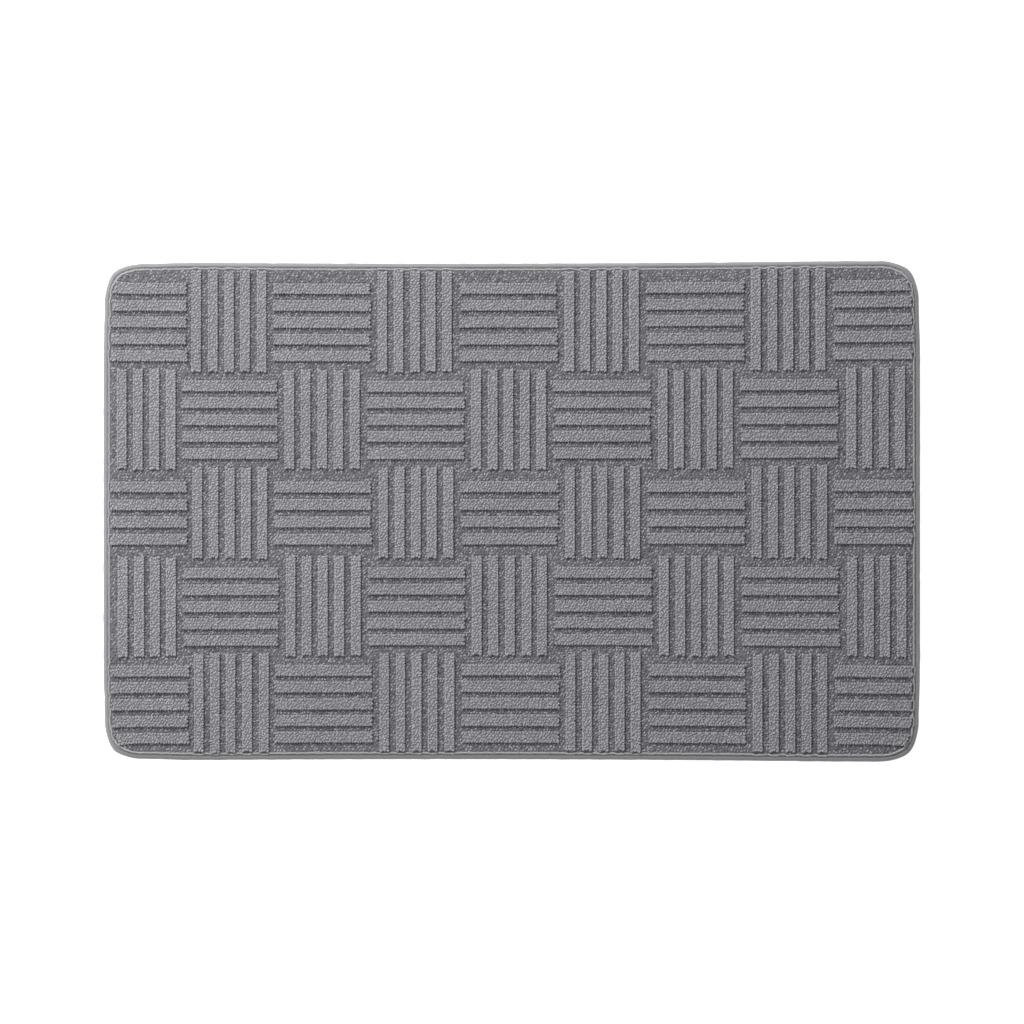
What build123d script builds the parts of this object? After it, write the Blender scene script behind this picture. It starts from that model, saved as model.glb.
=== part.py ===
from build123d import *
import os

# Bath mat lying flat: a foam pad in a pile cover whose ribs stand in a basket-weave pattern,
# with a smooth binding round the edge and a non-slip backing. Millimetres, +X along the length,
# +Z up, origin on the floor under the middle of the mat.

LENGTH = 864.0
WIDTH = 527.0
CORNER_RADIUS = 43.0

# Layers, from the floor up
GRIP_THICKNESS = 1.2
BASE_CLOTH_THICKNESS = 0.6
FOAM_THICKNESS = 9.0
GROUND_THICKNESS = 2.4
RIB_HEIGHT = 2.8

# Edge: a binding tape wrapped round the foam's rounded side, then the overlocked cover edge
BINDING_THICKNESS = 0.8
BINDING_WIDTH = 5.0  # seen from above, from the outermost line to its seam
OVERLOCK_WIDTH = 3.0
OVERLOCK_STANDING = 0.2  # how far the overlocked edge stands above the ground pile
OVERLOCK_ROUNDING = 1.1
THREAD_RADIUS = 0.35

# Ribs: blocks of ribs along X and blocks of ribs along Y take turns, like a woven basket
COLUMNS = 9
COLUMN_PITCH = 98.6
ROW_OFFSETS = (202.0, 98.8, 0.0, -98.8, -202.0)
RIBS_ALONG_X = (5, 5, 4, 5, 5)  # in a block, for each row
RIBS_ALONG_Y = 5
RIB_GAP_FROM_BLOCK = (7.5, 7.5, 11.0, 7.5, 7.5)  # beyond the blocks along X of each row
PATTERN_CENTRE = (-2.3, -1.6)
PITCH_ALONG_X = 17.8
PITCH_ALONG_X_OF_FOUR = 18.4
PITCH_ALONG_Y = 17.2
RIB_WIDTH_ALONG_X = 12.4
RIB_WIDTH_ALONG_Y = 11.0
RIB_LENGTH_ALONG_X = 102.5
RIB_END_RADIUS = 3.0
RIB_TOP_ROUNDING = 1.2

# Heights and insets that follow
BASE_CLOTH_BOTTOM = GRIP_THICKNESS
FOAM_BOTTOM = BASE_CLOTH_BOTTOM + BASE_CLOTH_THICKNESS
FOAM_TOP = FOAM_BOTTOM + FOAM_THICKNESS
GROUND_TOP = FOAM_TOP + GROUND_THICKNESS
FIELD_INSET = BINDING_WIDTH + OVERLOCK_WIDTH  # where the pile field begins
MIDDLE_ROW = len(ROW_OFFSETS) // 2


def outline(inset):
    """The mat's rounded rectangle, drawn in from its outermost line by inset."""
    return RectangleRounded(LENGTH - 2 * inset, WIDTH - 2 * inset, CORNER_RADIUS - inset)


def slab(inset, bottom, thickness):
    """A flat layer of the mat."""
    return Pos(0, 0, bottom) * extrude(outline(inset), amount=thickness)


def rounded_slab(inset, bottom, thickness, radius):
    """A flat layer whose side is rounded over above and below."""
    layer = slab(inset, bottom, thickness)
    rims = layer.edges().group_by(Axis.Z)
    return fillet(rims[0] + rims[-1], radius)


def foam_core():
    """Memory-foam pad with a rounded side."""
    return rounded_slab(
        BINDING_THICKNESS, FOAM_BOTTOM, FOAM_THICKNESS, BINDING_WIDTH - BINDING_THICKNESS
    )


def edge_binding():
    """Smooth tape that wraps the foam's side from the top seam to the bottom seam."""
    height = FOAM_THICKNESS + 2 * BINDING_THICKNESS
    bottom = FOAM_BOTTOM - BINDING_THICKNESS
    wrapped = rounded_slab(0, bottom, height, BINDING_WIDTH)
    return wrapped - foam_core() - slab(BINDING_WIDTH, bottom, height)


def seam_thread(height):
    """The thread of the binding's seam, as one line laid along the inside of the binding."""
    path = outline(BINDING_WIDTH - THREAD_RADIUS).wire()
    start = path @ 0
    section = Plane(origin=start, z_dir=path % 0) * Circle(THREAD_RADIUS)
    return Pos(0, 0, height) * sweep(section, path=path)


def edge_overlock():
    """The overlocked edge of the pile cover, a low rounded lip beside the binding."""
    height = GROUND_THICKNESS + OVERLOCK_STANDING
    lip = slab(BINDING_WIDTH, FOAM_TOP, height) - slab(FIELD_INSET, FOAM_TOP, height)
    return fillet(lip.edges().group_by(Axis.Z)[-1], OVERLOCK_ROUNDING)


def block_centre(row, column):
    """The middle of a block of ribs; rows count from the back, columns from the left."""
    x = PATTERN_CENTRE[0] + (column - COLUMNS // 2) * COLUMN_PITCH
    return x, PATTERN_CENTRE[1] + ROW_OFFSETS[row]


def half_depth(row):
    """Half the size along Y of this row's blocks of ribs along X, and their pitch."""
    pitch = PITCH_ALONG_X_OF_FOUR if row == MIDDLE_ROW else PITCH_ALONG_X
    return (RIBS_ALONG_X[row] - 1) / 2 * pitch + RIB_WIDTH_ALONG_X / 2, pitch


def ribs_along_x(row, column):
    """Plan of one block of ribs that lie along the mat's length."""
    x, y = block_centre(row, column)
    count = RIBS_ALONG_X[row]
    pitch = half_depth(row)[1]
    # The outer columns' ribs run on past the edge of the pile field, which cuts them off
    reach = RIB_LENGTH_ALONG_X if column in (0, COLUMNS - 1) else 0
    side = -1 if column == 0 else 1
    rib = RectangleRounded(RIB_LENGTH_ALONG_X + reach, RIB_WIDTH_ALONG_X, RIB_END_RADIUS)
    return [
        Pos(x + side * reach / 2, y + (place - (count - 1) / 2) * pitch) * rib
        for place in range(count)
    ]


def ribs_along_y(row, column):
    """Plan of one block of ribs that lie along the mat's width."""
    x, y = block_centre(row, column)
    last = len(ROW_OFFSETS) - 1
    top = WIDTH / 2 + RIB_END_RADIUS
    bottom = -top
    if row > 0:
        above = block_centre(row - 1, column)[1] - half_depth(row - 1)[0]
        top = above - RIB_GAP_FROM_BLOCK[row - 1]
    if row < last:
        below = block_centre(row + 1, column)[1] + half_depth(row + 1)[0]
        bottom = below + RIB_GAP_FROM_BLOCK[row + 1]
    rib = RectangleRounded(RIB_WIDTH_ALONG_Y, top - bottom, RIB_END_RADIUS)
    places = [x + (i - (RIBS_ALONG_Y - 1) / 2) * PITCH_ALONG_Y for i in range(RIBS_ALONG_Y)]
    # A rib that would meet the overlocked edge isn't there
    limit = LENGTH / 2 - FIELD_INSET - RIB_WIDTH_ALONG_Y / 2
    return [Pos(place, (top + bottom) / 2) * rib for place in places if abs(place) < limit]


def rib_block(row, column):
    """One block of raised pile ribs, each rib a solid of its own."""
    lies_along_x = (row + column) % 2 == 0
    plans = ribs_along_x(row, column) if lies_along_x else ribs_along_y(row, column)
    field = outline(FIELD_INSET)
    ribs = []
    for plan in plans:
        rib = Pos(0, 0, GROUND_TOP) * extrude(plan & field, amount=RIB_HEIGHT)
        ribs.append(fillet(rib.edges().group_by(Axis.Z)[-1], RIB_TOP_ROUNDING).solid())
    return Compound(children=ribs)


binding_top = FOAM_TOP + BINDING_THICKNESS
binding_bottom = FOAM_BOTTOM - BINDING_THICKNESS
pieces = {
    "grip_backing": slab(BINDING_WIDTH, 0, GRIP_THICKNESS),
    "base_cloth": slab(BINDING_WIDTH, BASE_CLOTH_BOTTOM, BASE_CLOTH_THICKNESS),
    "foam_core": foam_core(),
    "edge_binding": edge_binding(),
    "seam_thread_top": seam_thread(binding_top + THREAD_RADIUS),
    "seam_thread_under": seam_thread(binding_bottom - THREAD_RADIUS),
    "edge_overlock": edge_overlock(),
    "pile_ground": slab(FIELD_INSET, FOAM_TOP, GROUND_THICKNESS),
}
for row in range(len(ROW_OFFSETS)):
    for column in range(COLUMNS):
        pieces[f"pile_ribs_row{row + 1}_col{column + 1}"] = rib_block(row, column)

os.makedirs("parts", exist_ok=True)
for node, shape in pieces.items():
    export_step(shape, f"parts/{node}.step")
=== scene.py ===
import math

import bpy
import numpy as np
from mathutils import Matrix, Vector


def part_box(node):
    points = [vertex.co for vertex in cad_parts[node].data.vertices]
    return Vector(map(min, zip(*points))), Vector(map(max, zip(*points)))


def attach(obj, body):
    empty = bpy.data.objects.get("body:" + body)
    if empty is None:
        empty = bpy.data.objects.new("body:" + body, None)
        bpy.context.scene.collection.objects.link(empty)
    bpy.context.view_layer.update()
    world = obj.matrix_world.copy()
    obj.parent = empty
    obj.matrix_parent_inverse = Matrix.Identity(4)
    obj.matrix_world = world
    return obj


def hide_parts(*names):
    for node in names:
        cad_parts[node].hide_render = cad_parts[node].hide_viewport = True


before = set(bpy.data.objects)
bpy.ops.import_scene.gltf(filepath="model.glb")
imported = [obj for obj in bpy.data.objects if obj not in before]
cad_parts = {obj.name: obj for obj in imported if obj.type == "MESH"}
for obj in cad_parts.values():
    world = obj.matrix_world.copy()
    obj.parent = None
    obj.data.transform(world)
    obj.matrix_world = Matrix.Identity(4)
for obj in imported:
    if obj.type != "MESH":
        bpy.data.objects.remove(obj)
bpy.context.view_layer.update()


# --- Non-slip backing ---------------------------------------------------------------------------
# A moulded rubber sheet under the whole mat, its underside covered with low round studs that grip
# the floor. It is bonded to the base cloth and stops where the binding is turned under.

CORNER_RADIUS = 0.043
ROWS_IN_A_CORNER = 12
STUD_PITCH = 0.0105
STUD_RADIUS = 0.0034
STUD_HEIGHT = 0.0006
STUD_SIDES = 8
BLOOM_SIZE = 0.03
MOULD_GRAIN, MOULD_GRAIN_DEPTH = 0.0004, 0.0001
STUD_PROFILE = ((1.0, 1.5), (1.0, 1.0), (0.86, 0.25), (0.5, 0.0))  # shares of radius and height

mat_low, mat_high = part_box("edge_binding")
half_length = (mat_high.x - mat_low.x) / 2
half_width = (mat_high.y - mat_low.y) / 2
straight_x = half_length - CORNER_RADIUS
straight_y = half_width - CORNER_RADIUS


def lie(points):
    """How the cut and sewn mat really lies: a little wider towards its right end, its sides drawn
    in beside the corners and the corners themselves pushed out by the turned binding."""
    flare, narrowest, waist = 0.0028, -0.075, 0.0011
    draw_in, draw_reach = 0.0014, 0.034
    long_sides_left, long_sides_right = 1.25, 0.4  # share of draw_in on the long sides
    keeps_to_sides = 8  # a higher power leaves more of the middle undrawn
    fullness, full_reach = 0.0024, 0.014
    out = np.array(points, float)
    plan = out[:, :2]
    share = plan / [half_length, half_width]
    beyond = np.abs(plan) - [straight_x, straight_y]
    drawn = draw_in * np.exp(-(beyond / draw_reach) ** 2)[:, ::-1] * np.abs(share) ** keeps_to_sides
    drawn[:, 1] *= np.where(share[:, 0] > 0, long_sides_right, long_sides_left)
    away = np.linalg.norm(beyond - CORNER_RADIUS * math.sqrt(0.5), axis=1, keepdims=True)
    pushed = fullness * math.sqrt(0.5) * np.exp(-(away / full_reach) ** 2)
    spread = flare * (share[:, 0] - narrowest / half_length) ** 2 - waist
    plan += np.sign(plan) * (pushed - drawn)
    plan[:, 1] += spread * share[:, 1]
    return out


def new_piece(name, points, faces):
    """A mesh object from its points and faces; faces is a list of arrays, one for each face size."""
    mesh = bpy.data.meshes.new(name)
    corners = np.concatenate([np.asarray(f).ravel() for f in faces]).astype(np.int32)
    sizes = np.concatenate([np.full(len(f), f.shape[1]) for f in faces])
    starts = np.concatenate([[0], np.cumsum(sizes)[:-1]]).astype(np.int32)
    mesh.vertices.add(len(points))
    mesh.vertices.foreach_set("co", lie(points).astype(np.float32).ravel())
    mesh.loops.add(len(corners))
    mesh.loops.foreach_set("vertex_index", corners)
    mesh.polygons.add(len(sizes))
    mesh.polygons.foreach_set("loop_start", starts)
    mesh.polygons.foreach_set("use_smooth", np.ones(len(sizes), bool))
    mesh.update(calc_edges=True)
    mesh.validate()
    piece = bpy.data.objects.new(name, mesh)
    bpy.context.collection.objects.link(piece)
    return piece


def layer_plan(inset, columns=72, rows=44):
    """Points of a layer's face, row by row, up to the mat's outline drawn in by inset."""
    radius = CORNER_RADIUS - inset
    turn = np.linspace(0, math.pi / 2, ROWS_IN_A_CORNER)
    middle = np.linspace(-straight_y, straight_y, rows)
    y = np.concatenate([-straight_y - radius * np.sin(turn[:0:-1]), middle,
                        straight_y + radius * np.sin(turn[1:])])
    x = straight_x + radius * np.concatenate(
        [np.cos(turn[:0:-1]), np.ones(rows), np.cos(turn[1:])])
    across = np.linspace(-1, 1, columns)
    return np.stack([x[:, None] * across, np.broadcast_to(y[:, None], (len(y), columns))], -1)


def outward(plan):
    """The direction out of the mat at points of its outline."""
    reach = np.maximum(np.abs(plan) - [straight_x, straight_y], 0) * np.sign(plan)
    return reach / np.linalg.norm(reach, axis=-1, keepdims=True)


def layer(name, profile, unevenness=0.0):
    """A closed layer; its side follows profile, (inset, height) from the upper rim to the lower."""
    plan = layer_plan(profile[0][0])
    rows, columns = plan.shape[:2]
    index = np.arange(rows * columns).reshape(rows, columns)
    rim = np.concatenate([index[0, :-1], index[:-1, -1], index[-1, :0:-1], index[:0:-1, 0]])
    flat = plan.reshape(-1, 2)
    swell_x, swell_y = 61, 47  # radians for each metre
    waves = unevenness * np.sin(flat[:, 0] * swell_x) * np.cos(flat[:, 1] * swell_y)
    upper = np.column_stack([flat, profile[0][1] + waves])
    lower = np.column_stack([flat, np.full(len(flat), profile[-1][1])])
    quads = np.stack([index[:-1, :-1], index[:-1, 1:], index[1:, 1:], index[1:, :-1]], -1)
    quads = quads.reshape(-1, 4)
    points, faces = [upper, lower], [quads, quads[:, ::-1] + len(flat)]
    edge = flat[rim]
    ring = rim
    made = 2 * len(flat)
    for inset, height in profile[1:-1]:
        moved = edge + outward(edge) * (profile[0][0] - inset)
        points.append(np.column_stack([moved, np.full(len(rim), height)]))
        lower_ring = made + np.arange(len(rim))
        faces.append(np.stack([ring, lower_ring, np.roll(lower_ring, -1), np.roll(ring, -1)], -1))
        ring = lower_ring
        made += len(rim)
    last = rim + len(flat)
    faces.append(np.stack([ring, last, np.roll(last, -1), np.roll(ring, -1)], -1))
    return new_piece(name, np.concatenate(points), faces)


def eased(inset, top, bottom, ease=0.0002):
    """A side profile for layer() with its two edges eased."""
    return [(inset + ease, top), (inset, top - ease), (inset, bottom + ease),
            (inset + ease, bottom)]


class Tone:
    """A number that varies over a surface; arithmetic on it adds the material's Math nodes."""

    def __init__(self, finish, socket):
        self.finish, self.socket = finish, socket

    def math(self, operation, first, second):
        return self.finish.node("ShaderNodeMath", {"operation": operation}, {0: first, 1: second})

    def __add__(self, other):
        return self.math("ADD", self, other)

    def __radd__(self, other):
        return self.math("ADD", other, self)

    def __sub__(self, other):
        return self.math("SUBTRACT", self, other)

    def __rsub__(self, other):
        return self.math("SUBTRACT", other, self)

    def __mul__(self, other):
        return self.math("MULTIPLY", self, other)

    def __rmul__(self, other):
        return self.math("MULTIPLY", other, self)


class Finish:
    """One material of the mat, with constant values set on its shader."""

    def __init__(self, name, **constants):
        self.material = bpy.data.materials.new(name)
        self.material.use_nodes = True
        self.tree = self.material.node_tree
        self.shader = self.tree.nodes["Principled BSDF"]
        for socket, value in constants.items():
            self.shader.inputs[socket.replace("_", " ")].default_value = value

    def node(self, kind, settings=None, inputs=None, output=0):
        """Adds a node: its settings first, then the values or links of its sockets."""
        made = self.tree.nodes.new(kind)
        for key, value in (settings or {}).items():
            setattr(made, key, value)
        for key, value in (inputs or {}).items():
            if isinstance(value, Tone):
                self.tree.links.new(value.socket, made.inputs[key])
            else:
                made.inputs[key].default_value = value
        return Tone(self, made.outputs[output])

    def place(self):
        """Where a point is on the mat, in metres."""
        return self.node("ShaderNodeTexCoord", output="Object")

    def noise(self, size, detail=2.0):
        """Soft random tone with features of the given size in metres."""
        return self.node("ShaderNodeTexNoise", {},
                         {"Vector": self.place(), "Scale": 1 / size, "Detail": detail})

    def waves(self, spacing, direction):
        """Even ridges, spacing metres apart along X, Y, Z or a diagonal."""
        settings = {"wave_type": "BANDS", "bands_direction": direction}
        full_turn = 20.0  # a Wave texture makes a ridge every 2 pi / 20 of its scaled space
        scale = 2 * math.pi / full_turn / spacing
        return self.node("ShaderNodeTexWave", settings, {"Vector": self.place(), "Scale": scale})

    def colour(self, tone, dark, light):
        """Feeds the surface colour: dark where tone is 0, light where it is 1."""
        mixed = self.node("ShaderNodeMix", {"data_type": "RGBA"},
                          {0: tone, 6: (*dark, 1), 7: (*light, 1)}, output=2)
        self.tree.links.new(mixed.socket, self.shader.inputs["Base Color"])

    def feed(self, socket, tone):
        self.tree.links.new(tone.socket, self.shader.inputs[socket])

    def relief(self, height, depth):
        """Feeds the normal with a bump of the given depth in metres."""
        self.feed("Normal", self.node("ShaderNodeBump", {}, {"Distance": depth, "Height": height}))


rubber = Finish("moulded_rubber", Specular_IOR_Level=0.3)
rubber_bloom = rubber.noise(BLOOM_SIZE, detail=6)
rubber.colour(rubber_bloom, (0.045, 0.045, 0.048), (0.075, 0.075, 0.08))
rubber.feed("Roughness", 0.62 + 0.2 * rubber_bloom)
rubber.relief(rubber.noise(MOULD_GRAIN), MOULD_GRAIN_DEPTH)

backing_low, backing_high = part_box("grip_backing")
binding_width = backing_low.x - mat_low.x


def inside_by(plan):
    """How far points lie inside the mat's outermost line, in metres."""
    reach = np.abs(plan) - [straight_x, straight_y]
    beyond = np.linalg.norm(np.maximum(reach, 0), axis=-1)
    return CORNER_RADIUS - beyond - np.minimum(reach.max(axis=-1), 0)


def studs(side):
    """Low rounded studs in staggered rows over the front (-1) or back (1) half of the sheet,
    hanging from it down to the floor."""
    step_y = STUD_PITCH * math.sqrt(3) / 2
    rows = int(half_width / step_y)
    places = np.array([
        ((column + 0.5 * (row % 2)) * STUD_PITCH, row * step_y)
        for row in range(-rows, rows + 1) if (row >= 0) == (side > 0)
        for column in range(-int(half_length / STUD_PITCH), int(half_length / STUD_PITCH) + 1)
    ])
    places = places[inside_by(places) > binding_width + 2 * STUD_RADIUS]
    turn = np.arange(STUD_SIDES) * 2 * math.pi / STUD_SIDES
    circle = np.stack([np.cos(turn), np.sin(turn)], -1)
    points = np.concatenate([
        np.concatenate([place + STUD_RADIUS * share * circle,
                        np.full((STUD_SIDES, 1), backing_low.z + STUD_HEIGHT * height)], 1)
        for place in places for share, height in STUD_PROFILE
    ])
    one = np.arange(STUD_SIDES)
    wall = [np.stack([one + STUD_SIDES * k, np.roll(one, -1) + STUD_SIDES * k,
                      np.roll(one, -1) + STUD_SIDES * (k + 1), one + STUD_SIDES * (k + 1)], -1)
            for k in range(len(STUD_PROFILE) - 1)]
    wall = np.concatenate(wall)[:, ::-1]
    caps = np.stack([one, one[::-1] + STUD_SIDES * (len(STUD_PROFILE) - 1)])
    offsets = (np.arange(len(places)) * STUD_SIDES * len(STUD_PROFILE))[:, None, None]
    return points, [(wall + offsets).reshape(-1, 4), (caps + offsets).reshape(-1, STUD_SIDES)]


def add(piece, node, finish):
    """Gives a piece its material, hangs it from the root body and hides the CAD node that it stands
    for.
    """
    piece.data.materials.append(finish.material)
    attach(piece, "root")
    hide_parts(node)


sheet_bottom = backing_low.z + STUD_HEIGHT
backing = layer("grip_backing_sheet", eased(binding_width, backing_high.z, sheet_bottom))
front_studs = new_piece("grip_backing_studs_front", *studs(-1))
back_studs = new_piece("grip_backing_studs_back", *studs(1))
for piece in (backing, front_studs, back_studs):
    add(piece, "grip_backing", rubber)


# --- Base cloth ---------------------------------------------------------------------------------
# A plain woven lining that the rubber is bonded to. It is cut to the mat's shape, laid under the
# foam, and its edge is caught in the seam with the binding.

WEAVE_SPACING, WEAVE_DEPTH = 0.0006, 0.0002
SLUB_SIZE = 0.01

lining = Finish("woven_lining", Roughness=0.9, Specular_IOR_Level=0.2)
weave = lining.waves(WEAVE_SPACING, "X") * lining.waves(WEAVE_SPACING, "Y")
lining.colour(weave * (0.6 + 0.4 * lining.noise(SLUB_SIZE)), (0.2, 0.2, 0.205), (0.36, 0.36, 0.37))
lining.relief(weave, WEAVE_DEPTH)

lining_low, lining_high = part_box("base_cloth")
base_cloth = layer("base_cloth_lining", eased(binding_width, lining_high.z, lining_low.z))
add(base_cloth, "base_cloth", lining)


# --- Foam core ----------------------------------------------------------------------------------
# One slab of slow-recovery foam, cut with a rounded side so that the binding turns smoothly
# round it. Its skin has open cells, and the cut faces aren't quite flat.

CELL_SIZE, CELL_DEPTH = 0.0011, 0.0004
FOAM_SIDE_POINTS = 18
FOAM_UNEVENNESS = 0.00012

foam = Finish("memory_foam", Roughness=0.95, Specular_IOR_Level=0.15, Subsurface_Weight=0.15,
              Subsurface_Scale=0.004)
cells = foam.node("ShaderNodeTexVoronoi", {"feature": "F1"},
                  {"Vector": foam.place(), "Scale": 1 / CELL_SIZE})
foam.colour(cells, (0.74, 0.72, 0.66), (0.52, 0.5, 0.45))
foam.relief(1 - cells, CELL_DEPTH)

foam_low, foam_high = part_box("foam_core")
foam_rounding = binding_width - (foam_low.x - mat_low.x)


def half_round(radius, start, stop, steps):
    """Points of the mat's rounded side, as (inset, height), at radius round the foam's edge."""
    turn = np.linspace(start, stop, steps)
    middle = np.where(turn < math.pi / 2, foam_high.z - foam_rounding, foam_low.z + foam_rounding)
    return np.column_stack([binding_width - radius * np.sin(turn), middle + radius * np.cos(turn)])


foam_side = half_round(foam_rounding, 0, math.pi, FOAM_SIDE_POINTS)
foam_pad = layer("foam_core_pad", list(foam_side), FOAM_UNEVENNESS)
add(foam_pad, "foam_core", foam)


# --- Edge binding -------------------------------------------------------------------------------
# A smooth finely knitted tape, wrapped round the side of the mat and sewn through all the layers.
# It dips into the seam at its upper edge, and puckers a little where the stitches pull it.

TAPE_STEP = 0.0022
TAPE_POINTS = 22
SEAM_DIP_WIDTH = 0.0016
SEAM_DIP_SHARE = 0.75  # of the tape's thickness
PUCKER_SHARE, PUCKER_SPACING = 0.35, 0.009
SLACK = 0.0003
LONG_SLACK, LONG_SPACING = 0.00022, 0.031
SHORT_SLACK, SHORT_SPACING = 0.00008, 0.011
TAPE_EASE = 0.00006  # keeps the tape just clear of the foam
COURSE_SPACING, COURSE_DEPTH = 0.0009, 0.00012
TAPE_FADING, TAPE_FUZZ = 0.02, 0.0007


def walk_edge(step):
    """Points once round the outermost line of the mat, and the outward direction at each."""
    points, directions = [], []
    for quarter, (sx, sy) in enumerate([(1, 1), (-1, 1), (-1, -1), (1, -1)]):
        middle = np.array([sx * straight_x, sy * straight_y])
        start = quarter * math.pi / 2
        turn = start + np.arange(0, math.pi / 2, step / CORNER_RADIUS)
        bend = np.stack([np.cos(turn), np.sin(turn)], -1)
        side = np.array([-math.sin(start), math.cos(start)])  # the straight side that follows
        length = 2 * (straight_x if quarter % 2 == 0 else straight_y)
        run = np.arange(0, length, step)
        forward = np.array([-side[1], side[0]])
        points += [middle + CORNER_RADIUS * bend,
                   middle + CORNER_RADIUS * side + run[:, None] * forward]
        directions += [bend, np.broadcast_to(side, (len(run), 2))]
    return np.concatenate(points), np.concatenate(directions)


def swept(line, directions, section):
    """A closed ring round the mat; section is (place, point, (inset, height)), closed."""
    plan = line[:, None] - directions[:, None] * section[..., :1]
    count, around = section.shape[:2]
    points = np.concatenate([plan, section[..., 1:]], -1).reshape(-1, 3)
    index = np.arange(count * around).reshape(count, around)
    ahead, beside = np.roll(index, -1, 0), np.roll(index, -1, 1)
    quads = np.stack([index, beside, np.roll(beside, -1, 0), ahead], -1).reshape(-1, 4)
    return points, [quads]


def ripple(line, spacing, seed):
    """A smooth uneven wave from -1 to 1 along the edge, crests about spacing apart."""
    step = np.linalg.norm(np.diff(line, axis=0, append=line[:1]), axis=1)
    travelled = np.cumsum(step)
    total = travelled[-1]
    draws = np.random.default_rng(seed)
    wave = np.zeros(len(line))
    for share in (0.6, 0.85, 1.0, 1.3, 1.7):
        turns = round(total / spacing * share)
        wave += np.sin(travelled / total * 2 * math.pi * turns + draws.uniform(0, 2 * math.pi))
    return wave / np.abs(wave).max()


tape_line, tape_out = walk_edge(TAPE_STEP)
tape_thickness = foam_low.x - mat_low.x
outer = half_round(binding_width, 0, math.pi, TAPE_POINTS)
inner = half_round(foam_rounding + TAPE_EASE, math.pi, 0, TAPE_POINTS)
section = np.broadcast_to(np.concatenate([outer, inner]),
                          (len(tape_line), 2 * TAPE_POINTS, 2)).copy()
near_seam = np.clip((section[:, :TAPE_POINTS, 0] - (binding_width - SEAM_DIP_WIDTH))
                    / SEAM_DIP_WIDTH, 0, 1) ** 2
upper = section[:, :TAPE_POINTS, 1] > (foam_low.z + foam_high.z) / 2
pucker = 1 + PUCKER_SHARE * ripple(tape_line, PUCKER_SPACING, 3)[:, None]
section[:, :TAPE_POINTS, 1] -= upper * near_seam * (tape_thickness * SEAM_DIP_SHARE) * pucker
slack = (SLACK + LONG_SLACK * ripple(tape_line, LONG_SPACING, 5)
         + SHORT_SLACK * ripple(tape_line, SHORT_SPACING, 6))
section[:, :TAPE_POINTS, 0] += slack[:, None] * np.sin(np.linspace(0, math.pi, TAPE_POINTS))

tape = Finish("knitted_tape", Roughness=0.62, Specular_IOR_Level=0.35, Sheen_Weight=0.25,
              Sheen_Roughness=0.4)
courses = tape.waves(COURSE_SPACING, "DIAGONAL")
tape.colour(0.55 * tape.noise(TAPE_FADING, detail=4) + 0.45 * courses, (0.212, 0.212, 0.218),
            (0.288, 0.288, 0.294))
tape.relief(0.7 * courses + 0.3 * tape.noise(TAPE_FUZZ), COURSE_DEPTH)

binding = new_piece("edge_binding_tape", *swept(tape_line, tape_out, section))
add(binding, "edge_binding", tape)


# --- Seam threads -------------------------------------------------------------------------------
# A lockstitch through binding, cover and base cloth. Its needle thread lies in the crease on top
# and its bobbin thread shows underneath, as separate short stitches that dip at each hole.

STITCH_PITCH = 0.0036
STITCH_SHARE = 0.86  # of the pitch that a stitch spans
THREAD_RADIUS = 0.00032
THREAD_TWIST, TWIST_DEPTH = 0.0005, 0.0001
TOP_DIP, UNDER_DIP = 0.0004, 0.0003
STITCH_REACH = np.array([-0.5, -0.42, -0.2, 0.2, 0.42, 0.5])
STITCH_SINK = np.array([1.0, 0.45, 0.0, 0.0, 0.45, 1.0])
STITCH_THICKNESS = np.array([0.6, 0.9, 1, 1, 0.9, 0.6])
YARN_SIDES = 5


def yarns(paths, sideways, radii):
    """Short lengths of yarn as closed tubes; paths is (yarn, ring, xyz), each in one plane
    square to its sideways direction, and radii holds one radius for each ring."""
    along = np.gradient(paths, axis=1)
    along /= np.linalg.norm(along, axis=-1, keepdims=True)
    across = np.broadcast_to(sideways[:, None], along.shape)
    up = np.cross(across, along)
    turn = np.arange(YARN_SIDES) * 2 * math.pi / YARN_SIDES
    ring = (np.cos(turn)[:, None] * across[:, :, None] + np.sin(turn)[:, None] * up[:, :, None])
    points = paths[:, :, None] + np.asarray(radii)[:, None, None] * ring
    count, rings = paths.shape[:2]
    index = np.arange(count * rings * YARN_SIDES).reshape(count, rings, YARN_SIDES)
    near, far = index[:, :-1], index[:, 1:]
    quads = np.stack([near, np.roll(near, -1, 2), np.roll(far, -1, 2), far], -1).reshape(-1, 4)
    caps = np.concatenate([index[:, 0, ::-1], index[:, -1]])
    return points.reshape(-1, 3), [quads, caps]


thread = Finish("sewing_thread", Roughness=0.5, Sheen_Weight=0.2)
twist = thread.waves(THREAD_TWIST, "DIAGONAL")
thread.colour(twist, (0.16, 0.16, 0.165), (0.27, 0.27, 0.28))
thread.relief(twist, TWIST_DEPTH)


def stitches(name, inset, height, dip):
    """One row of stitches round the mat, each lying along the seam and dipping at its ends."""
    line, directions = walk_edge(STITCH_PITCH)
    forward = np.stack([-directions[:, 1], directions[:, 0]], -1)
    reach = STITCH_REACH * STITCH_SHARE * STITCH_PITCH
    plan = (line - directions * inset)[:, None] + forward[:, None] * reach[:, None]
    z = np.broadcast_to(height - STITCH_SINK * dip, plan.shape[:2])
    paths = np.concatenate([plan, z[..., None]], -1)
    sideways = np.column_stack([directions, np.zeros(len(directions))])
    return new_piece(name, *yarns(paths, sideways, THREAD_RADIUS * STITCH_THICKNESS))


top_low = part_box("seam_thread_top")[0]
under_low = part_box("seam_thread_under")[0]
seam_inset = top_low.x - mat_low.x + THREAD_RADIUS
top_stitches = stitches("seam_stitches_top", seam_inset, top_low.z - THREAD_RADIUS, TOP_DIP)
under_stitches = stitches("seam_stitches_under", seam_inset, under_low.z + THREAD_RADIUS,
                          -UNDER_DIP)
add(top_stitches, "seam_thread_top", thread)
add(under_stitches, "seam_thread_under", thread)


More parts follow.
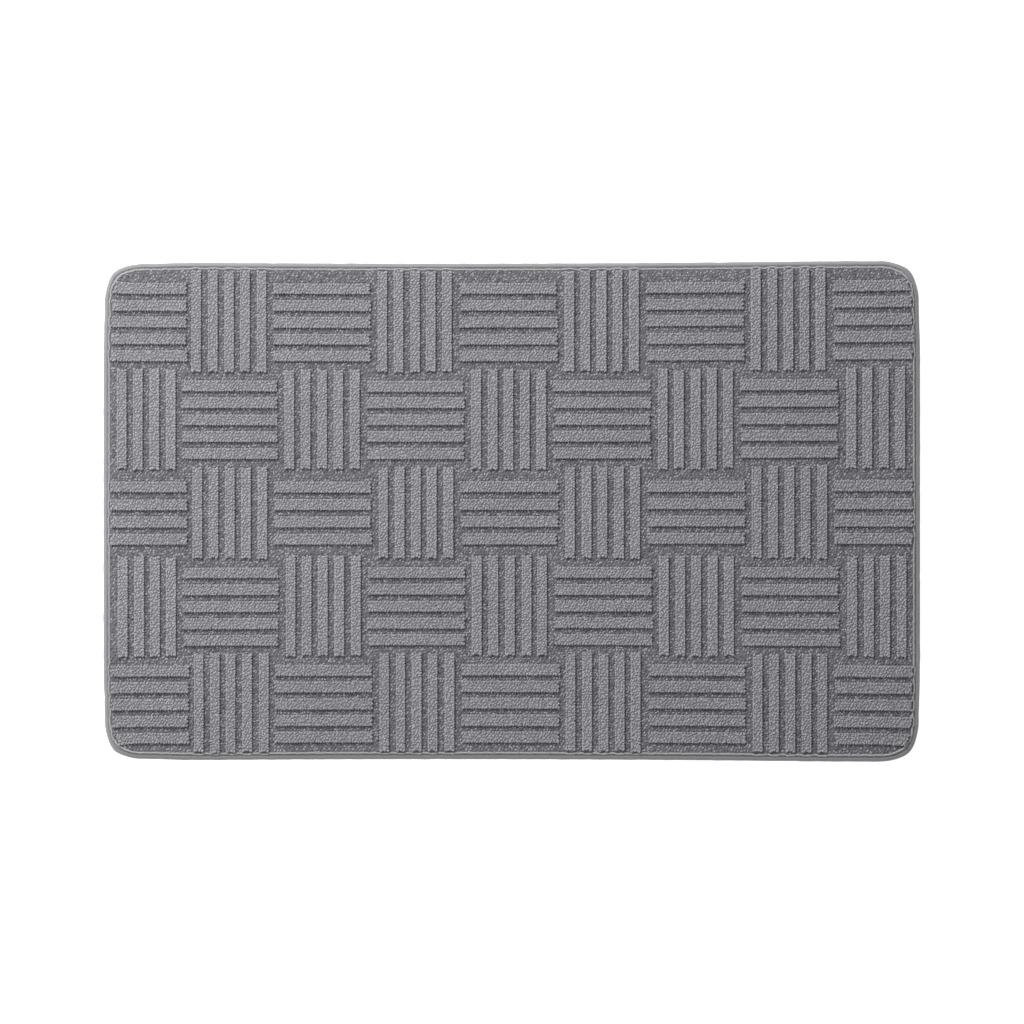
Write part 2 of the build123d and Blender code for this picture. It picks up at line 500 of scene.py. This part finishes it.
# --- Pile cover: ground -------------------------------------------------------------------------
# A knitted ground cloth laid on the foam, with low loops of soft yarn over all of it. Most loops
# lean much the same way, so each one shows as a short slanting stroke.

LOOP_PITCH = 0.0035
LOOP_ROW_PITCH = 0.003
LOOP_STRAY = 0.00065
LOOP_LEAN = math.radians(60)
LOOP_LEAN_SPREAD = math.radians(42)
LOOP_SPAN = 0.0019
SPAN_SHARES, RISE_SHARES = (0.82, 1.18), (0.85, 1.12)  # how much single loops differ
UPRIGHT = 0.99  # a loop whose direction is this much upwards stands on a top
YARN_RADIUS = 0.00102
GROUND_LOOP_RISE = 0.0011
# Ground loops are coloured darker than the ribs' loops: partly their lower, pressed-down pile, partly
# painted shade of the grooves between the ribs.
GROUND_TONES = (-0.12, 0.78)
# Lengthwise ribs are coloured darker than crosswise ones of the same yarn: painted shade for how the
# light falls on them. Within each range the loops differ at random.
LENGTHWISE_TONES = (0.41, 0.84)
CROSSWISE_TONES = (0.56, 0.9)
SIDE_SHADE = 0.12  # painted shade: a rib's sides are coloured darker than its top by this tone
# The rib filling shows in the gaps between the loops; its dark tone is painted shade of those deep
# gaps.
FILLING_SHADE_TONE = 0.24
CLOTH_THICKNESS = 0.0012
UNDER_LIP = 0.0004  # the cloth stops this far inside the binding, under the overlocked lip
FIBRE_SIZE, FIBRE_DEPTH = 0.00035, 0.00025
FADING_SIZE = 0.045  # slow changes of shade over the pile
ARCH_REACH = np.array([-1.0, -0.85, 0.0, 0.85, 1.0]) / 2
ARCH_RISE = np.array([0.0, 0.7, 1.0, 0.7, 0.0])
ARCH_THICKNESS = np.array([0.75, 1.0, 1.08, 1.0, 0.75])

pile = Finish("looped_pile", Roughness=0.93, Specular_IOR_Level=0.12, Sheen_Weight=0.3,
              Sheen_Roughness=0.5)
loop_tone = pile.node("ShaderNodeAttribute", {"attribute_name": "tone"}, output="Fac")
fibres = pile.noise(FIBRE_SIZE, detail=3)
shade = 0.7 * loop_tone + 0.2 * fibres + 0.1 * pile.noise(FADING_SIZE, detail=3)
pile.colour(shade, (0.085, 0.085, 0.092), (0.5, 0.497, 0.532))
pile.relief(fibres, FIBRE_DEPTH)


def loops(roots, standing, rise, tones, draws):
    """Loops of yarn standing on roots along their standing direction, each an arch that leans
    away from +X in the plane it stands on. Returns (points, faces, tone of each point)."""
    count = len(roots)
    turn = LOOP_LEAN + draws.normal(0, LOOP_LEAN_SPREAD, count)
    flat = np.stack([np.cos(turn), np.sin(turn), np.zeros(count)], -1)
    flat -= standing * (flat * standing).sum(-1, keepdims=True)
    flat /= np.linalg.norm(flat, axis=-1, keepdims=True)
    span = LOOP_SPAN * draws.uniform(*SPAN_SHARES, count)
    height = rise * draws.uniform(*RISE_SHARES, count)
    paths = (roots[:, None] + flat[:, None] * (span[:, None, None] * ARCH_REACH[:, None])
             + standing[:, None] * (height[:, None, None] * ARCH_RISE[:, None]))
    points, faces = yarns(paths, np.cross(flat, standing), YARN_RADIUS * ARCH_THICKNESS)
    tone = draws.uniform(*tones, count) - SIDE_SHADE * (standing[:, 2] < UPRIGHT)
    return points, faces, np.repeat(tone, len(points) // count)


def joined(parts):
    """Several (points, faces, tone) as one."""
    points, faces, made = [], [], 0
    for part in parts:
        points.append(part[0])
        faces += [f + made for f in part[1]]
        made += len(part[0])
    return np.concatenate(points), faces, np.concatenate([part[2] for part in parts])


def pile_piece(name, points, faces, tone):
    """A piece of pile with the tone of each loop, and its bake map laid out as seen from above."""
    piece = new_piece(name, points, faces)
    piece.data.attributes.new("tone", "FLOAT", "POINT").data.foreach_set(
        "value", tone.astype(np.float32))
    low, high = points[:, :2].min(0), points[:, :2].max(0)
    spread = (points[:, :2] - low) / (high - low).max()
    corners = np.empty(len(piece.data.loops), np.int32)
    piece.data.loops.foreach_get("vertex_index", corners)
    piece.data.uv_layers.new(name="OFBake").data.foreach_set(
        "uv", spread[corners].astype(np.float32).ravel())
    return piece


ROWS, COLUMNS = 5, 9
RIBS_IN_A_BLOCK = 5
PLAN_SEED, GROUND_SEED = 500, 11
RIB_WIDTH_ALONG_X = 0.0124
RIB_WIDTH_ALONG_Y = 0.011
ASKEW_CROSSWISE, ASKEW_LENGTHWISE = 0.005, 0.0015  # radians the pattern is turned by
RIB_STRAY = 0.00022
RIB_NARROWING, RIB_WIDTH_SPREAD = 0.0001, 0.00012
LENGTHENING, SHORTENING, LENGTH_SPREAD = 0.0006, 0.0006, 0.0004
CROSSWISE_SHIFT = np.array([-0.0003, 0.0004])
# How far a column's crosswise ribs lie to the right, and how much longer its lengthwise ribs are.
COLUMN_DRIFTS = {0: (0.003, 0.003), 1: (0.0009, -0.0018), COLUMNS - 1: (0.0018, 0.0018)}


def block_name(row, column):
    return f"pile_ribs_row{row + 1}_col{column + 1}"


def wander(middle, half, along_x, column, draws):
    """A rib as it comes out in cloth: a little off its place and size, in a pattern that was cut
    slightly askew. The outer columns are drawn to the right."""
    drift, stretch = COLUMN_DRIFTS.get(column, (0.0, 0.0))
    askew = np.array([-ASKEW_CROSSWISE * middle[1], ASKEW_LENGTHWISE * middle[0]])
    moved = middle + askew + draws.normal(0, RIB_STRAY, 2)
    changed = half + draws.normal(-RIB_NARROWING, RIB_WIDTH_SPREAD, 2)
    if along_x:
        changed[0] += draws.normal(LENGTHENING, LENGTH_SPREAD) + stretch / 2
        moved[0] += abs(stretch) / 2
    else:
        changed[1] += draws.normal(-SHORTENING, LENGTH_SPREAD)
        moved += CROSSWISE_SHIFT + (drift, 0)
    return moved, changed, along_x


def rib_plan(row, column):
    """(middle, half size, runs along X) of each rib in a block, from the block's box. The middle
    row's lengthwise blocks and the outer columns' crosswise ones have one rib fewer."""
    draws = np.random.default_rng(PLAN_SEED + COLUMNS * row + column)
    low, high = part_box(block_name(row, column))
    middle = np.array([(low.x + high.x) / 2, (low.y + high.y) / 2])
    along_x = (row + column) % 2 == 0
    if along_x:
        count = RIBS_IN_A_BLOCK - (row == ROWS // 2)
        half = np.array([(high.x - low.x) / 2, RIB_WIDTH_ALONG_X / 2])
        places = np.linspace(low.y + half[1], high.y - half[1], count)
        middles = [np.array([middle[0], y]) for y in places]
    else:
        count = RIBS_IN_A_BLOCK - (column in (0, COLUMNS - 1))
        half = np.array([RIB_WIDTH_ALONG_Y / 2, (high.y - low.y) / 2])
        places = np.linspace(low.x + half[0], high.x - half[0], count)
        middles = [np.array([x, middle[1]]) for x in places]
    return [wander(place, half, along_x, column, draws) for place in middles]


ribs = {(row, column): rib_plan(row, column) for row in range(ROWS) for column in range(COLUMNS)}
ground_low, ground_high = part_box("pile_ground")
field_inset = ground_low.x - mat_low.x
ground_root = ground_high.z - YARN_RADIUS - GROUND_LOOP_RISE


def loop_grid(low, high, draws):
    """Staggered rows of loop places over a rectangle, a little uneven."""
    y = np.linspace(low[1], high[1], round((high[1] - low[1]) / LOOP_ROW_PITCH) + 1)
    columns = int((high[0] - low[0]) / LOOP_PITCH) + 1
    spare = (high[0] - low[0] - (columns - 1) * LOOP_PITCH) / 2
    x = low[0] + spare + np.arange(columns) * LOOP_PITCH
    grid = np.stack(np.meshgrid(x, y), -1)
    grid[::2, :, 0] -= LOOP_PITCH / 4
    grid[1::2, :, 0] += LOOP_PITCH / 4
    grid = grid.reshape(-1, 2)
    return grid + draws.normal(0, LOOP_STRAY, grid.shape)


def beside_ribs(places, margin):
    """Which places lie in no rib's footprint, drawn in by margin."""
    free = np.ones(len(places), bool)
    for block in ribs.values():
        for middle, half, _ in block:
            free &= (np.abs(places - middle) > half - margin).any(-1)
    return free


# The ground cloth has no tone of its own, so it takes the pile's darkest colour: painted shade in the
# gaps between the ground loops.
cover_cloth = layer("cover_ground_cloth",
                    eased(binding_width + UNDER_LIP, foam_high.z + CLOTH_THICKNESS, foam_high.z))
add(cover_cloth, "pile_ground", pile)

draws = np.random.default_rng(GROUND_SEED)
ground_size = np.array([ground_high.x, ground_high.y])
places = loop_grid(-ground_size, ground_size, draws)
places = places[(inside_by(places) > field_inset + YARN_RADIUS / 2)
                & beside_ribs(places, YARN_RADIUS)]
cover_pieces = []
place_row = np.floor((1 - places[:, 1] / ground_size[1]) * ROWS / 2)
for row in range(ROWS):
    for side, on_side in (("left", places[:, 0] < 0), ("right", places[:, 0] >= 0)):
        chosen = places[(place_row == row) & on_side]
        roots = np.column_stack([chosen, np.full(len(chosen), ground_root)])
        standing = np.broadcast_to([0.0, 0.0, 1.0], roots.shape)
        piece = pile_piece(f"ground_loops_row{row + 1}_{side}",
                           *loops(roots, standing, GROUND_LOOP_RISE, GROUND_TONES, draws))
        add(piece, "pile_ground", pile)
        cover_pieces.append(piece)


# --- Pile cover: raised ribs --------------------------------------------------------------------
# Runs of taller pile that stand up from the ground in blocks, lengthwise and crosswise in turn
# like a woven basket. Dense yarn fills each rib, and its loops cover the top, sides and ends.

RIB_END_RADIUS = 0.003
RIB_END_WIDTH, RIB_END_HEIGHT = 0.45, 0.6  # shares that are left at a rib's very end
RIB_SQUARENESS = 0.45  # a lower power makes the filling's back squarer
RIB_STATIONS, RIB_POINTS = 22, 9
SIDE_INSET = 0.0009
SIDE_LOOP_PITCH = 0.0027
SIDE_TILT = math.radians(28)  # how far the loops of a rib's side look up from level
SIDE_LOOP_RISE = 0.0009
RIB_LOOP_RISE = 0.001
SIDE_LOOP_HEIGHT = 0.3  # of the rib's rise above the ground
SIDE_LOOP_STRAY = 0.0002
SIDE_LOOP_SEAT = 0.8 * YARN_RADIUS  # how deep a side's loops sit in the filling
CROWN_MARGIN = 1.9 * YARN_RADIUS  # from a rib's edge to the outermost loops of its top
CROWN_CORNER, CROWN_CORNER_REACH = 0.8, 0.7  # shares of the end radius
SIDE_CORNER = 0.6
CROWN_SAG, SAG_POWER = 0.0004, 6
LOOP_SEED = 100
RIB_UNEVENNESS = 0.0001
FILLING_DEPTH = 0.0012  # from the tops of the loops down to the filling


def field_end(y, inset):
    """How far along X the mat reaches at y, drawn in by inset."""
    radius = CORNER_RADIUS - inset
    into_corner = np.clip(np.abs(y) - straight_y, 0, radius)
    return straight_x + np.sqrt(radius ** 2 - into_corner ** 2)


def rib_filling(middle, half, along_x, base, top):
    """The dense middle of a rib: a closed bar with a rounded back and rounded ends."""
    length, width = (half if along_x else half[::-1]) - SIDE_INSET
    travel = np.sin(np.linspace(-math.pi / 2, math.pi / 2, RIB_STATIONS)) * length
    to_end = np.clip((length - np.abs(travel)) / RIB_END_RADIUS, 0, 1)
    narrowing = RIB_END_WIDTH + (1 - RIB_END_WIDTH) * np.sqrt(1 - (1 - to_end) ** 2)
    turn = np.linspace(0, math.pi, RIB_POINTS)
    side = np.sign(np.cos(turn)) * np.abs(np.cos(turn)) ** RIB_SQUARENESS
    rise = np.sin(turn) ** RIB_SQUARENESS
    t = width * narrowing[:, None] * side
    lowering = RIB_END_HEIGHT + (1 - RIB_END_HEIGHT) * narrowing[:, None]
    z = base + (top - base) * lowering * rise
    s = np.broadcast_to(travel[:, None], t.shape)
    x, y = (s, t) if along_x else (t, s)
    x, y = x + middle[0], y + middle[1]
    reach = field_end(y, field_inset + SIDE_INSET)
    points = np.stack([np.clip(x, -reach, reach), y, z], -1)
    index = np.arange(t.size).reshape(t.shape)
    if not along_x:
        index = index[:, ::-1]
    around = np.roll(index, -1, 1)
    quads = np.stack([index[:-1], index[1:], around[1:], around[:-1]], -1).reshape(-1, 4)
    return points.reshape(-1, 3), quads, np.stack([index[0], index[-1, ::-1]])


def rib_loop_roots(middle, half, along_x, top, draws):
    """Roots and standing directions of the loops over a rib's top, sides and ends."""
    reach = half - CROWN_MARGIN
    crown = np.clip(loop_grid(-reach, reach, draws), -reach, reach)
    corner = half - RIB_END_RADIUS * CROWN_CORNER
    rounded = np.linalg.norm(np.maximum(np.abs(crown) - corner, 0), axis=-1)
    crown = crown[rounded < RIB_END_RADIUS * CROWN_CORNER_REACH]
    sag = CROWN_SAG * (np.abs(crown / half)).max(-1) ** SAG_POWER
    roots = [np.column_stack([crown, top - YARN_RADIUS - RIB_LOOP_RISE - sag])]
    standing = [np.broadcast_to([0.0, 0.0, 1.0], (len(crown), 3))]
    tilt = math.sin(SIDE_TILT)
    for axis in (0, 1):
        run = half[1 - axis] - RIB_END_RADIUS * SIDE_CORNER
        for sign in (-1, 1):
            count = max(2, int(2 * run / SIDE_LOOP_PITCH))
            here = np.zeros((count, 3))
            here[:, 1 - axis] = (np.linspace(-run, run, count)
                                 + draws.normal(0, SIDE_LOOP_STRAY, count))
            here[:, axis] = sign * (half[axis] - SIDE_INSET - SIDE_LOOP_SEAT)
            here[:, 2] = ground_high.z + (top - ground_high.z) * SIDE_LOOP_HEIGHT
            look = np.array([0.0, 0.0, tilt])
            look[axis] = sign * math.cos(SIDE_TILT)
            roots.append(here)
            standing.append(np.broadcast_to(look, here.shape))
    roots, standing = np.concatenate(roots), np.concatenate(standing)
    roots[:, :2] += middle
    kept = inside_by(roots[:, :2]) > field_inset + SIDE_LOOP_SEAT
    return roots[kept], standing[kept]


for (row, column), block in ribs.items():
    draws = np.random.default_rng(LOOP_SEED + COLUMNS * row + column)
    low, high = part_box(block_name(row, column))
    parts = []
    for middle, half, along_x in block:
        top = high.z - abs(draws.normal(0, RIB_UNEVENNESS))
        points, quads, caps = rib_filling(middle, half, along_x, low.z - CLOTH_THICKNESS,
                                          top - FILLING_DEPTH)
        # The filling takes the dark tone: painted shade between the loops.
        parts.append((points, [quads, caps], np.full(len(points), FILLING_SHADE_TONE)))
        roots, standing = rib_loop_roots(middle, half, along_x, top, draws)
        rise = np.where(standing[:, 2] > UPRIGHT, RIB_LOOP_RISE, SIDE_LOOP_RISE)
        tones = LENGTHWISE_TONES if along_x else CROSSWISE_TONES
        parts.append(loops(roots, standing, rise, tones, draws))
    piece = pile_piece(f"{block_name(row, column)}_loops", *joined(parts))
    add(piece, block_name(row, column), pile)
    cover_pieces.append(piece)


# --- Overlocked edge of the cover ---------------------------------------------------------------
# The cut edge of the pile cover, wrapped in smooth overlock yarn so that it can't fray. It stands
# as a thin light lip beside the binding, and bulges outwards where a rib runs into it.

WRAP_PITCH = 0.0013
WRAP_RADIUS = 0.00052
CORE_MARGIN, CORE_DEPTH = 1.3 * WRAP_RADIUS, 2.2 * WRAP_RADIUS
STRAND_SIZE, STRAND_DEPTH = 0.0011, 0.00015
WRAP_SLANT = 0.0011
WRAP_REACH = 0.00105
WRAP_POINTS = 7
BULGE = 0.0006
HOLLOW = 0.0002
BULGE_WIDTH = 1.25  # a higher number spreads a bulge past its rib
LEFT_PUSH = 0.0004
LIP_RIPPLE, LIP_RIPPLE_SPACING = 0.0004, 0.011
CREST_DROP = 0.0002
CREST_RIPPLE, CREST_RIPPLE_SPACING = 0.00015, 0.02
CORE_SQUARENESS, WRAP_SQUARENESS = 0.6, 0.7
LIP_PLACE = 1.45  # half widths of the lip from the binding to its middle


def rib_push(line, directions):
    """How far the lip is pushed out at each place, by the ribs that run into it."""
    facing_x = np.abs(directions[:, 0]) > math.sqrt(0.5)
    push = np.full(len(line), -HOLLOW)
    for block in ribs.values():
        for middle, half, along_x in block:
            axis = 0 if along_x else 1
            meets = facing_x if along_x else ~facing_x
            end = np.abs(line[:, axis] - middle[axis]) < half[axis] + field_inset + CORNER_RADIUS / 2
            offset = (line[:, 1 - axis] - middle[1 - axis]) / half[1 - axis]
            hump = np.clip(BULGE_WIDTH - offset ** 2, 0, 1) * (BULGE + HOLLOW) - HOLLOW
            push = np.where(meets & end, np.maximum(push, hump), push)
    return push


lip_low, lip_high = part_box("edge_overlock")
lip_line, lip_out = walk_edge(WRAP_PITCH)
lip_push = rib_push(lip_line, lip_out) + LIP_RIPPLE * ripple(lip_line, LIP_RIPPLE_SPACING, 8)
lip_push += LEFT_PUSH * np.clip(-lip_out[:, 0], 0, 1)
lip_crest = (lip_high.z - CREST_DROP
             + CREST_RIPPLE * ripple(lip_line, CREST_RIPPLE_SPACING, 9))
lip_reach = (field_inset - binding_width) / 2

overlock = Finish("overlock_yarn", Roughness=0.6, Specular_IOR_Level=0.35, Sheen_Weight=0.35,
                  Sheen_Roughness=0.4)
strands = overlock.noise(STRAND_SIZE, detail=3)
overlock.colour(strands, (0.34, 0.34, 0.35), (0.52, 0.52, 0.53))
overlock.relief(strands, STRAND_DEPTH)

turn = np.linspace(0, math.pi, WRAP_POINTS)
lip_middle = lip_reach * LIP_PLACE + binding_width - lip_push
core_reach = lip_reach - CORE_MARGIN
core_top = lip_crest - CORE_DEPTH
core = np.stack([
    lip_middle[:, None] - core_reach * np.cos(turn),
    lip_low.z + (core_top[:, None] - lip_low.z) * np.sin(turn) ** CORE_SQUARENESS], -1)
lip_core = new_piece("edge_overlock_core", *swept(lip_line, lip_out, core[:, ::-1]))

wrap_reach = (WRAP_REACH - WRAP_RADIUS / 2) * np.cos(turn)
wrap_rise = np.sin(turn) ** WRAP_SQUARENESS
forward = np.stack([-lip_out[:, 1], lip_out[:, 0]], -1)
slant = WRAP_SLANT / 2 * np.cos(turn)
plan = (lip_line[:, None] - lip_out[:, None] * (lip_middle[:, None] - wrap_reach)[..., None]
        + forward[:, None] * slant[:, None])
height = lip_low.z + (lip_crest[:, None] - WRAP_RADIUS - lip_low.z) * wrap_rise
wraps = np.concatenate([plan, height[..., None]], -1)
across = np.column_stack([forward * WRAP_REACH * 2 - lip_out * WRAP_SLANT, np.zeros(len(forward))])
across /= np.linalg.norm(across, axis=1, keepdims=True)
lip_wraps = new_piece("edge_overlock_wraps", *yarns(wraps, across, np.full(WRAP_POINTS, WRAP_RADIUS)))
for piece in (lip_core, lip_wraps):
    add(piece, "edge_overlock", overlock)

cover_pieces += [lip_core, lip_wraps]


# --- Floor, light and camera --------------------------------------------------------------------
# A plain white floor under soft studio light, with the key light high beyond the mat's back left
# corner and a weak one on its left. The camera is a long lens straight above the mat.

FLOOR_SIZE, FLOOR_FADING = 9.0, 0.6
FRAME_WIDTH = 1.0825  # what the picture takes in at half the height of the binding
LENS, SENSOR = 200.0, 36.0
AIM = (0.0003, -0.0007)

KEY_PLACE, KEY_SIZE, KEY_POWER = (-1.0, 1.95, 2.0), 0.77, 77.0
SIDE_PLACE, SIDE_SIZE, SIDE_POWER = (-1.6, -0.1, 1.1), 1.2, 11.0
FILL_STRENGTH = 0.41
FLOOR_GLOW = 0.75

bpy.ops.mesh.primitive_plane_add(size=FLOOR_SIZE, location=(0, 0, backing_low.z))
floor = bpy.context.object
floor.name = "floor"
paper = Finish("white_floor", Roughness=0.9, Specular_IOR_Level=0.1,
               Emission_Color=(1, 1, 1, 1), Emission_Strength=FLOOR_GLOW)
paper.colour(paper.noise(FLOOR_FADING), (0.9, 0.9, 0.9), (0.93, 0.93, 0.93))
floor.data.materials.append(paper.material)


def soft_light(name, place, size, power):
    """A square studio light that faces the middle of the mat."""
    data = bpy.data.lights.new(name, "AREA")
    data.size, data.energy = size, power
    light = bpy.data.objects.new(name, data)
    light.location = place
    light.rotation_euler = (-light.location).to_track_quat("-Z", "Y").to_euler()
    bpy.context.collection.objects.link(light)


soft_light("key", KEY_PLACE, KEY_SIZE, KEY_POWER)
soft_light("side", SIDE_PLACE, SIDE_SIZE, SIDE_POWER)


class Backdrop(Finish):
    """The studio round the mat: a weak soft light from everywhere that itself looks white."""

    def __init__(self, world, colour):
        world.use_nodes = True
        self.tree = world.node_tree
        self.shader = self.tree.nodes["Background"]
        self.shader.inputs["Color"].default_value = colour


world = bpy.data.worlds.new("studio")
backdrop = Backdrop(world, (0.97, 0.98, 1.0, 1))
seen = backdrop.node("ShaderNodeLightPath", output="Is Camera Ray")
backdrop.feed("Strength", FILL_STRENGTH + (1 - FILL_STRENGTH) * seen)
bpy.context.scene.world = world
bpy.context.scene.view_settings.view_transform = "Standard"

lens_data = bpy.data.cameras.new("camera")
lens_data.lens, lens_data.sensor_width = LENS, SENSOR
lens_data.clip_end = 2 * FLOOR_SIZE
camera = bpy.data.objects.new("camera", lens_data)
half_height = (foam_low.z + foam_high.z) / 2
camera.location = (*AIM, half_height + FRAME_WIDTH * LENS / SENSOR)
bpy.context.collection.objects.link(camera)
bpy.context.scene.camera = camera
